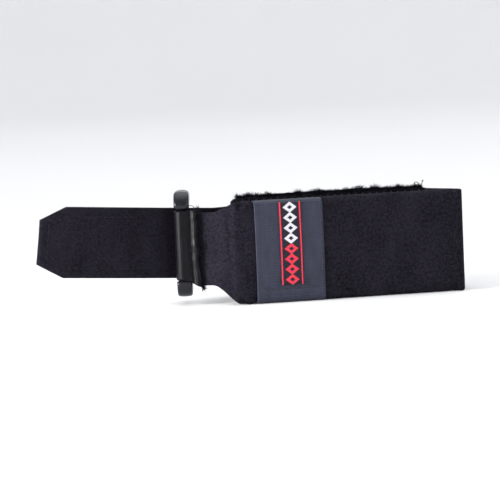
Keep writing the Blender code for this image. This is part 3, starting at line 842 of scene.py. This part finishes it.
def foam_faces(x, z):
    uneven = 0.06 * wobble(np.stack([x, z * 0, z], axis=-1), 2.5, 4.2, 2)
    return -5.0 - 0.9 * pad_puff(x, z) + uneven, np.full_like(x, -2.05)


def lining_faces(x, z):
    spots = np.stack([x, x * 0, z], axis=-1)
    uneven = 0.10 * wobble(spots, 4.0, 2.2, 2) + 0.05 * wobble(spots, 1.2, 8.2, 2)
    grooves = sum(hump(x - at, 0.9) for at in STRING_PLACES)
    return np.full_like(x, -1.66), -0.45 + uneven - STRING_GROOVE * grooves


def make_pad():
    low, high = zip(FOAM_X, FOAM_Z)
    block = pillow("foam_block", low, high, 0.8, 2.4, 1.5, foam_faces, foam("foam"))
    swell(block, *FOAM_SWELL)
    dress(block, "foam", "band", "foam_core")
    low, high = (LINING_LOW[0] + 0.1, 0.1), (LINING_END, LINING_TOP)
    lining = pillow("plush_sheet", low, high, 0.7, 1.1, 2.2, lining_faces, PLUSH)
    swell(lining, *LINING_SWELL)
    ragged_top(lining)
    dress(lining, "plush", "band", "plush_lining")


def ragged_top(item):
    """The pile stands in uneven tufts along the lining's upper edge."""
    spots = vertex_places(item.data) / MM - SHIFT
    tufts = 0.5 * wobble(spots * (1, 0.6, 0), 1.5, 5.5, 3)
    spots[:, 2] += tufts * smooth_step((spots[:, 2] - 23.8) / 2.2)
    item.data.vertices.foreach_set("co", place(spots).astype(np.float32).ravel())


def make_plush_pile():
    """Pile on the face that meets the strings and round its edges, ragged along the top."""
    left, right, top = LINING_LOW[0] + 0.2, LINING_END - 0.1, LINING_TOP - 0.4
    width, tall, deep = right - left, (0, 0, top - 3.0), (0, 1.1, 0)
    # Number of hairs, corner and two sides of the patch, direction and length
    patches = [
        (5300, (left + 0.5, -0.5, 1.0), (width - 1.0, 0, 0), (0, 0, top - 1.4), (0, 1, 0.15), 0.85),
        (5200, (left + 1.7, -1.6, top), (width - 3.4, 0, 0), deep, (0, -0.1, 1), 1.2),
        (900, (left, -1.6, 1.2), tall, deep, (-1, 0, 0.1), 0.6),
        (900, (right, -1.6, 1.2), tall, deep, (1, 0, 0.1), 0.6),
    ]
    roots, directions, lengths = [], [], []
    for count, corner, first, second, out, length in patches:
        a, b = RANDOM.random((2, count, 1))
        roots.append(np.add(corner, a * np.array(first)) + b * np.array(second))
        directions.append(out + 0.42 * RANDOM.normal(size=(count, 3)))
        clumps = 0.7 + 0.7 * wobble(roots[-1], 1.6, 6.0, 2)
        lengths.append(length * clumps.clip(0.2) * RANDOM.uniform(0.6, 1.25, count))
    pile = fibres("plush_pile", *map(np.concatenate, (roots, directions, lengths)), 0.05, PLUSH, 0.7)
    dress(pile, "plush", "band")


def make_pad_seams():
    """Slanting stitches that close the cover's turned-in edges onto the lining."""
    t = np.linspace(-1, 1, 9)
    rise = 0.13 - 0.35 * np.abs(t) ** 3.5
    for edge, z, out in (("upper", PAD_HEIGHT, 1), ("lower", 0.0, -1)):
        lines = [columns(x + 0.35 * t, PAD_SEAM_Y + 0.75 * t, z + out * rise)
                 for x in np.linspace(LINING_LOW[0] + 3.2, 26.2, 27)]
        dress(tubes("pad_stitches_" + edge, lines, 0.16, THREAD, 7), "thread", "band", "pad_seam_" + edge)


# ---- elastic, ring and strap

def elastic_line():
    along, across = heading(ELASTIC_SLOPE), heading(ELASTIC_SLOPE + 90)
    end = SLOT[:2] + along * ELASTIC_END + across * (STRAP_THICK / 2 + LAP_GAP + ELASTIC_THICK / 2)
    start = np.array((ELASTIC_X, ELASTIC_START_Y))
    side_corner = np.array((ELASTIC_X, ELASTIC_BACK_Y))
    shoulder = end + along * ((ELASTIC_BACK_Y - end[1]) / along[1])
    return ([start] + fillet(start, side_corner, shoulder, ELASTIC_CORNER, 40)
            + fillet(side_corner, shoulder, end, ELASTIC_SHOULDER, 24) + [end])


def make_elastic():
    """Elastic webbing with raised lengthwise cords; it narrows where it laps the strap."""
    line = elastic_line()
    places, normals, distance = even_path(line, 0.8)
    share = row_spacing(ELASTIC_HEIGHT, 0.16, 0.4) / ELASTIC_HEIGHT
    cords = CORD_DEPTH * (np.abs(np.sin(math.pi * ELASTIC_CORDS * share)) ** 0.6 - 1)
    lap_middle = STRAP_Z - math.sin(math.radians(LAP_TILT)) * (ELASTIC_END + STRAP_END) / 2
    narrow = smooth_step((ELASTIC_TAPER_X - places[:, 0]) / ELASTIC_TAPER_LENGTH)
    low = (lap_middle - LAP_HALF) * narrow
    high = ELASTIC_HEIGHT + (lap_middle + LAP_HALF - ELASTIC_HEIGHT) * narrow
    stations = []
    for spot, normal, s, lo, hi in zip(places, normals, distance, low, high):
        z = lo + share * (hi - lo)
        half = edge_round(np.minimum(share, 1 - share) * (hi - lo), ELASTIC_THICK / 2)
        half = np.minimum(half, edge_round(min(s, distance[-1] - s) + 0.1, ELASTIC_THICK / 2))
        half = half + cords * (1 + 0.25 * math.sin(s * 7.9))
        drift = 0.12 * wobble(columns(s, z, 0.0), 11.0, 3.3, 2)
        sides = [np.column_stack([spot + normal * (side * half + drift)[:, None], z]) for side in (-1, 1)]
        stations.append((*sides, columns(s, share * ELASTIC_HEIGHT)))
    item = cloth_solid("elastic", stations, [elastic_webbing("elastic_webbing")])
    dress(item, "elastic_webbing", None, "elastic_back")
    place((-2.0, ELASTIC_BACK_Y, STRAP_Z))
    place((*line[-1], STRAP_Z))
    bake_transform(item)


def make_elastic_seam():
    """Box of stitches that holds the cover's rear end and the elastic together."""
    line = columns(SIDE_FACE_X, *np.transpose(rounded_rectangle(*SIDE_SEAM, SEAM_CORNER)))
    stitches("side_stitches", "elastic_seam", line, (1, 0, 0), 1.75, 1.35, 0.17, closed=True)


def make_ring():
    """Moulded ring: blunt squared ends, a slim round bar for the cover and a stout flat-sided bar."""
    half = RING_HEIGHT / 2 - RING_END
    outline = rounded_rectangle(0, -half, BAR_SPACING, half, RING_CORNER, 12)
    places, normals, _ = even_path(outline + outline[:1], 0.35)
    turns = np.linspace(0, 2 * math.pi, 36, endpoint=False)
    round_u, round_w = np.cos(turns), np.sin(turns)
    forward, side = heading(RING_ANGLE), heading(RING_ANGLE - 90)
    parting = 1 + 0.03 * hump(round_w, 0.07)
    rings = []
    for (u, z), normal in zip(places[:-1], normals[:-1]):
        far = u > BAR_SPACING / 2
        start, run = (half - RING_CORNER, RING_CORNER) if far else (WRAP_TOP, 0.7)
        at_end = smooth_step((abs(z) - start) / run)
        bar = FAR_BAR - 0.05 if far else NEAR_BAR
        power = 2 / (2.0 + (1.2 if far else 3.0 * at_end))
        in_plane = (bar + (RING_END - bar) * at_end) * parting
        through = bar + (RING_END + 0.12 - bar) * at_end
        flat_u = np.sign(round_u) * np.abs(round_u) ** power * in_plane
        flat_w = np.sign(round_w) * np.abs(round_w) ** power * through
        spot = (np.array((RING_X, RING_Y)) + (u - normal[0] * flat_u)[:, None] * forward
                + flat_w[:, None] * side)
        rings.append(np.column_stack([spot, STRAP_Z + z - normal[1] * flat_u]))
    faces = ring_faces(len(rings), len(turns), True)
    item = new_object("moulded_ring", place(np.concatenate(rings)), faces, None, None,
                      [moulded_plastic("moulded_plastic")])
    dress(face_outward(item), "moulded_plastic", "ring", "ring")


def tab_line(distance, offset):
    """A point of the tab in the strap's plane, by distance past the fold line; offset towards the hooks."""
    bend_length = math.radians(REST_BEND) * TURN_RADIUS
    first = turn = min(distance, bend_length) / TURN_RADIUS
    spot = TURN_RADIUS * np.array((-math.sin(first), -math.cos(first)))
    if distance > bend_length:
        curl_radius = TAB_LENGTH / math.radians(TAB_CURL)
        turn = first + (distance - bend_length) / curl_radius
        spot = spot + curl_radius * np.array((math.sin(first) - math.sin(turn),
                                              math.cos(first) - math.cos(turn)))
    facing = np.array((math.sin(turn), math.cos(turn)))
    return spot + offset * facing + np.array((-FOLD_OUT, TURN_RADIUS)), facing


def tab_half_width(distance, margin=0.0):
    narrow = max(0.0, 1 - (TAB_LENGTH - distance) / TIP_LONG) * TIP_WIDE
    return STRAP_WIDTH / 2 - narrow - margin


def strap_spot(distance, offset=0.0):
    """A point of the strap or the tab; distance is negative on the strap's side of the fold."""
    if distance >= 0:
        return tab_line(distance, offset)
    return np.array((-FOLD_OUT - distance, offset)), np.array((0.0, 1.0))


def cupping(distance):
    """How far the tab's middle lies behind its edges."""
    return TAB_CUPPING * smooth_step((distance - 4) / 20)


def make_strap():
    """One length of loop cloth, from its end under the elastic, through the ring, to the tab's tip."""
    rear = STRAP_END + FOLD_OUT
    distance = np.concatenate([
        -row_spacing(rear - FOLD_FINE, 0.7, 0.5)[::-1] - FOLD_FINE, np.arange(-6.0, 6.01, 0.3),
        FOLD_FINE + np.linspace(0, TAB_LENGTH - FOLD_FINE - 1.0, 52),
        TAB_LENGTH - np.array([0.5, 0.25, 0.08, 0.0])])
    share = row_spacing(STRAP_WIDTH, 0.4) / STRAP_WIDTH
    stations = []
    for s in distance:
        half_width = tab_half_width(s)
        width = (share - 0.5) * 2 * half_width
        half = edge_round(half_width - np.abs(width), STRAP_THICK / 2)
        half = np.minimum(half, edge_round(min(TAB_LENGTH - s, s + rear), STRAP_THICK / 2))
        spot, facing = strap_spot(s)
        facing_up = np.array((*facing, 0.0))
        spots = columns(s, width, 0.0)
        calm = 1 - math.exp(-(s / 5.0) ** 2)
        wave = 0.12 * calm * wobble(spots, 8.0, 7.7, 2) + 0.07 * wobble(spots, 2.5, 3.7, 2)
        cupped = cupping(s) * (1 - (width / half_width) ** 2)
        base = columns(*spot, width) + facing_up * (wave - cupped + TAB_LIFT * (s > 0))[:, None]
        grooved = half - seam_groove(s, width, half_width)
        stations.append((base + facing_up * half[:, None], base - facing_up * grooved[:, None],
                         columns(s, width)))
    item = cloth_solid("strap_and_tab", stations, [PILE, REVERSE, REVERSE], place_in_strap)
    dress(item, "loop_fabric", None, "strap_run", "tab_strap")
    outer = in_strap([station[0] for station in stations])
    nap = surface_hairs("strap_nap", outer, STRAP_HAIRS, 0.34)
    dress(nap, "loop_fabric")
    for piece in (item, nap):
        place_in_strap((FOLD_REACH - FOLD_OUT, 0.0, 0.0))
        place_in_strap((-FOLD_REACH - FOLD_OUT, 0.0, 0.0))
        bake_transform(piece)


def seam_groove(distance, width, half_width):
    """The line of stitches pulls a shallow groove into the tab's face."""
    if distance < PATCH_START:
        return np.zeros_like(width)
    to_side = np.abs(half_width - STITCH_MARGIN - np.abs(width))
    to_row = np.minimum(to_side, abs(TAB_LENGTH - STITCH_MARGIN - distance))
    inside = np.abs(width) < half_width - STITCH_MARGIN + 0.6
    return STITCH_GROOVE * hump(to_row, 0.42) * inside


def hook_line(root, out, along):
    """One hook: a stalk that bends over."""
    bend, stalk = 0.2, 0.42
    spots = [root + out * stalk * t for t in (0.0, 0.5, 1.0)]
    for turn in np.radians(np.linspace(30, 215, 6)):
        spots.append(root + along * bend * (1 - math.cos(turn)) + out * (stalk + bend * math.sin(turn)))
    return spots


def make_hooks():
    """Hook tape on the tab's rear face: a thin woven base with rows of bent hooks."""
    start, end, base_thick = PATCH_START, TAB_LENGTH - 1.0, 0.32
    share = row_spacing(1.0, 0.03, 0.02)
    stations = []
    for s in start + row_spacing(end - start, 0.6, 0.3):
        half_width = tab_half_width(s, 1.0)
        width = (share - 0.5) * 2 * half_width
        half = edge_round(np.minimum(half_width - np.abs(width), min(s - start, end - s)), base_thick / 2)
        cupped = TAB_CUPPING * (1 - (width / (half_width + 1)) ** 2)
        offset = STRAP_THICK / 2 + 0.02 + base_thick / 2 - cupped + TAB_LIFT
        spot, facing = strap_spot(s)
        sides = [np.column_stack([spot + (offset + side * half)[:, None] * facing, width])
                 for side in (1, -1)]
        stations.append((*sides, columns(s, width)))
    item = cloth_solid("hook_tape_base", stations, [HOOKS], place_in_strap)
    dress(item, "hook_tape", "tab", "hook_patch")
    lines = []
    for row, s in enumerate(np.arange(start + 0.7, end - 0.5, 1.05)):
        half_width = tab_half_width(s, 1.6)
        spot, facing = strap_spot(s)
        for column, w in enumerate(np.arange(-half_width + 0.3 * (row % 2), half_width, 1.15)):
            lean = TAB_CUPPING * (1 - (w / (half_width + 1.6)) ** 2)
            root = np.array((*(spot + facing * (STRAP_THICK / 2 + 0.42 - lean)), w))
            along = np.array((-facing[1], facing[0], 0.0)) * (1 if column % 2 else -1)
            along = along + RANDOM.normal(size=3) * 0.15
            lines.append(in_strap(hook_line(root, np.array((*facing, 0.0)), along)))
    dress(tubes("hook_rows", lines, 0.075, HOOKS, 5), "hook_tape", "tab")


def make_strap_seams():
    """Stitches round the hook tape, on the tab's face, and round the lapped end of the elastic."""
    tip = TAB_LENGTH - TIP_LONG
    edge, facings = [], []
    rounding = np.linspace(tip, TAB_LENGTH - STITCH_MARGIN, 5)[1:]
    for s in (*np.linspace(PATCH_START + 0.8, tip, 14), *rounding):
        inset = tab_half_width(s, STITCH_MARGIN)
        cupped = cupping(s) * (1 - (inset / tab_half_width(s)) ** 2)
        spot, facing = strap_spot(s, -(STRAP_THICK / 2 - 0.12) - cupped + TAB_LIFT)
        edge.append((*spot, inset))
        facings.append(-facing)
    line = np.concatenate([edge, np.array(edge[::-1]) * (1, 1, -1)])
    facing = np.array(facings + facings[::-1])
    outward = facing[:, :1] * ALONG + facing[:, 1:] * ACROSS
    stitches("tab_stitches", "hook_patch_seam", in_strap(line), outward, 1.65, 1.25, 0.13,
             closed=True, body="tab")
    outline = rounded_rectangle(ELASTIC_END + 1.2, -STRAP_WIDTH / 2 + 1.6, STRAP_END - 1.2,
                                STRAP_WIDTH / 2 - 1.6, SEAM_CORNER)
    face = STRAP_THICK / 2 + LAP_GAP + ELASTIC_THICK
    line = in_strap([(a, face, b) for a, b in outline])
    stitches("joint_stitches", "strap_joint_seam", line, ACROSS, 1.7, 1.3, 0.17, closed=True, body="strap")


# ---- cover details

def make_loop_seam(outer, inner, distance, ends):
    """A line of stitches up the flap, which closes the cover round the ring's bar."""
    station = int(np.argmin(np.abs(distance - FLAP_SEAM_PLACE * ends["wrap_start"])))
    face = inner[station]
    inside = (face[:, 2] > WRAP_EDGES[0] + 0.8) & (face[:, 2] < WRAP_EDGES[1] - 0.8)
    outward = unit(face - outer[station])[inside]
    stitches("ring_loop_stitches", "ring_loop_seam", face[inside], outward, 1.6, 1.2, 0.15)


def make_fraying(outer, inner):
    """Frayed ends all along the flap's cut edge, thicker at its two corners."""
    rows = inner.shape[1]
    corners = [RANDOM.integers(rows - 7, rows, CORNER_FRAYS), RANDOM.integers(0, 7, CORNER_FRAYS)]
    j = np.concatenate([RANDOM.integers(0, rows, EDGE_FRAYS), *corners])
    away = unit(inner[0, j] - inner[3, j])
    outward = np.repeat([0.0, 0.8, -0.8], [EDGE_FRAYS, CORNER_FRAYS, CORNER_FRAYS])
    directions = away + outward[:, None] * (0, 0, 1) + 0.55 * RANDOM.normal(size=away.shape)
    lengths = np.where(outward == 0, 0.75, 1.15) * RANDOM.uniform(0.3, 1.2, len(j))
    fray = fibres("flap_fraying", (inner[0, j] + outer[0, j]) / 2, directions, lengths, 0.055, NAP, 0.8)
    dress(fray, "loop_fabric", "band")


def make_loose_threads(top):
    """A loop of thread from the flap's upper corner and short curls along the pad's top."""
    loop = []
    for t in np.linspace(0, 1, 22):
        turn = 2 * math.pi * (0.62 * t - 0.05)
        loop.append(top + (1.15 * math.sin(turn) + 0.6 * t, -0.25 + 0.3 * t,
                           0.75 * (1 - math.cos(turn)) - 0.2))
    curls = [loop]
    for x, reach, lean in ((25.2, 1.5, 0.7), (24.2, 1.1, -0.5), (-15.0, 0.9, 0.4), (9.0, 0.9, -0.4)):
        curls.append([(x + lean * math.sin(3.4 * t) + 0.4 * t * t, -1.2 + 0.3 * math.sin(5 * t),
                       26.4 + reach * math.sin(2.3 * t)) for t in np.linspace(0, 1, 14)])
    dress(tubes("loose_threads", curls, 0.085, THREAD, 5), "thread", "band")


# ---- stage

def make_floor():
    """A plain pale cove: a round floor that curves up all round into a low wall."""
    flat, bend, wall, around, below = 1.3, 0.7, 2.6, 72, 0.00005
    profile = [(0.02, 0.0), (0.3, 0.0), (0.8, 0.0), (flat, 0.0)]
    profile += [(flat + bend * math.sin(a), bend - bend * math.cos(a))
                for a in np.radians(range(10, 91, 10))]
    profile += [(flat + bend, wall)]
    turns = [2 * math.pi * k / around for k in range(around)]
    verts = [(r * math.cos(turn), r * math.sin(turn), z - below) for r, z in profile for turn in turns]
    faces = ring_faces(len(profile), around) + [range(around - 1, -1, -1)]
    s = Surface("pale_floor", 0.8, 0.1)
    shade = s.noise(s.node("TexCoord", {}).outputs["Object"], 0.35, 2.0)
    s.drive("Base Color", s.ramp(shade, (0.0, (0.88, 0.88, 0.885)), (1.0, (0.93, 0.93, 0.935))))
    new_object("floor", verts, faces, None, None, [s.material])


def stand_off(item, azimuth, elevation, distance, roll=0.0):
    """Puts a light or camera at a bearing from the target, facing it."""
    a, e = math.radians(azimuth), math.radians(elevation)
    back = Vector((math.sin(a) * math.cos(e), -math.cos(a) * math.cos(e), math.sin(e)))
    item.location = Vector(TARGET) + back * distance
    facing = back.to_track_quat("Z", "Y").to_matrix().to_4x4()
    item.rotation_euler = (facing @ Matrix.Rotation(math.radians(roll), 4, "Z")).to_euler()
    bpy.context.scene.collection.objects.link(item)


def make_light(name, azimuth, elevation, distance, size, power):
    light = bpy.data.lights.new(name, "AREA")
    light.shape, light.size, light.energy = "DISK", size, power
    item = bpy.data.objects.new(name, light)
    item.visible_camera = False
    stand_off(item, azimuth, elevation, distance)


def make_world():
    world = bpy.data.worlds.new("studio")
    world.use_nodes = True
    shade = world.node_tree.nodes["Background"]
    shade.inputs["Color"].default_value = (0.96, 0.98, 1.0, 1.0)
    shade.inputs["Strength"].default_value = 0.9
    bpy.context.scene.world = world
    bpy.context.scene.view_settings.view_transform = "Standard"


def make_camera():
    camera = bpy.data.cameras.new("camera")
    camera.sensor_width, camera.lens = 36.0, LENS
    camera.clip_start, camera.clip_end = 0.05, 20.0
    item = bpy.data.objects.new("camera", camera)
    stand_off(item, AZIMUTH, ELEVATION, DISTANCE, ROLL)
    bpy.context.scene.camera = item


cover_outer, cover_inner, cover_distance, cover_ends = make_cover()
make_label()
make_ribbon()
make_label_seams()
make_pad()
make_plush_pile()
make_pad_seams()
make_elastic()
make_elastic_seam()
make_ring()
make_strap()
make_hooks()
make_strap_seams()
make_loop_seam(cover_outer, cover_inner, cover_distance, cover_ends)
dress(surface_hairs("cover_nap", cover_outer, COVER_HAIRS, 0.30), "loop_fabric", "band")
make_fraying(cover_outer, cover_inner)
make_loose_threads(cover_inner[4, -3])
make_floor()
make_world()
for settings in LIGHTS:
    make_light(*settings)
make_camera()
